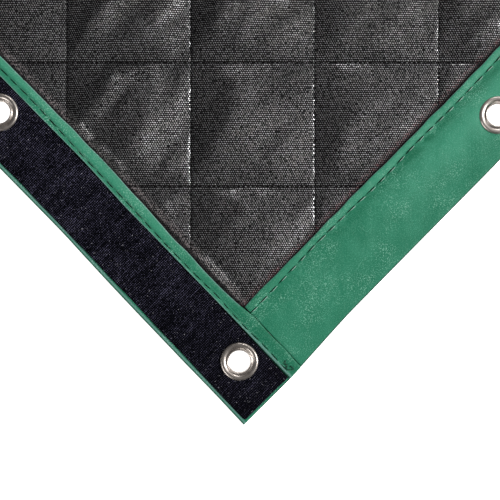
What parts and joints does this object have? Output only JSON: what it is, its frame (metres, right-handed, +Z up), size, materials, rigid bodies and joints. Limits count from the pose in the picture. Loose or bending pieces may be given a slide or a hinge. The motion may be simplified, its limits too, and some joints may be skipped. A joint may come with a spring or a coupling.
{
  "type": "quilted sound dampening blanket with eyelets and a loop tape",
  "caption": "Flat quilted sound dampening blanket with a coated binding, metal eyelets along every side and a loop tape down one side.",
  "frame": {"origin": "middle of the blanket's outline, on the surface that it lies on", "axes": "+X along the long sides, away from the side with the loop tape; +Y along the short sides; +Z up, out of the face that carries the loop tape"},
  "size_m": [1.826, 1.21, 0.0105],
  "materials": {
    "quilt": "black ribbed synthetic weave with a slight sheen, quilted",
    "binding": "green coated cloth, fine grain, satin",
    "loop_tape": "blue-black napped loop tape, matte",
    "eyelet": "polished nickel plate"
  },
  "bodies": {
    "root": {"quilted_panel": "quilt", "loop_tape": "loop_tape", "binding_left": "binding", "binding_right": "binding", "binding_lower": "binding", "binding_upper": "binding", "eyelet_left_1": "eyelet", "eyelet_left_2": "eyelet", "eyelet_left_3": "eyelet", "eyelet_left_4": "eyelet", "eyelet_left_5": "eyelet", "eyelet_right_1": "eyelet", "eyelet_right_2": "eyelet", "eyelet_right_3": "eyelet", "eyelet_right_4": "eyelet", "eyelet_right_5": "eyelet", "eyelet_lower_1": "eyelet", "eyelet_lower_2": "eyelet", "eyelet_lower_3": "eyelet", "eyelet_lower_4": "eyelet", "eyelet_lower_5": "eyelet", "eyelet_upper_1": "eyelet", "eyelet_upper_2": "eyelet", "eyelet_upper_3": "eyelet", "eyelet_upper_4": "eyelet", "eyelet_upper_5": "eyelet"}
  },
  "joints": []
}
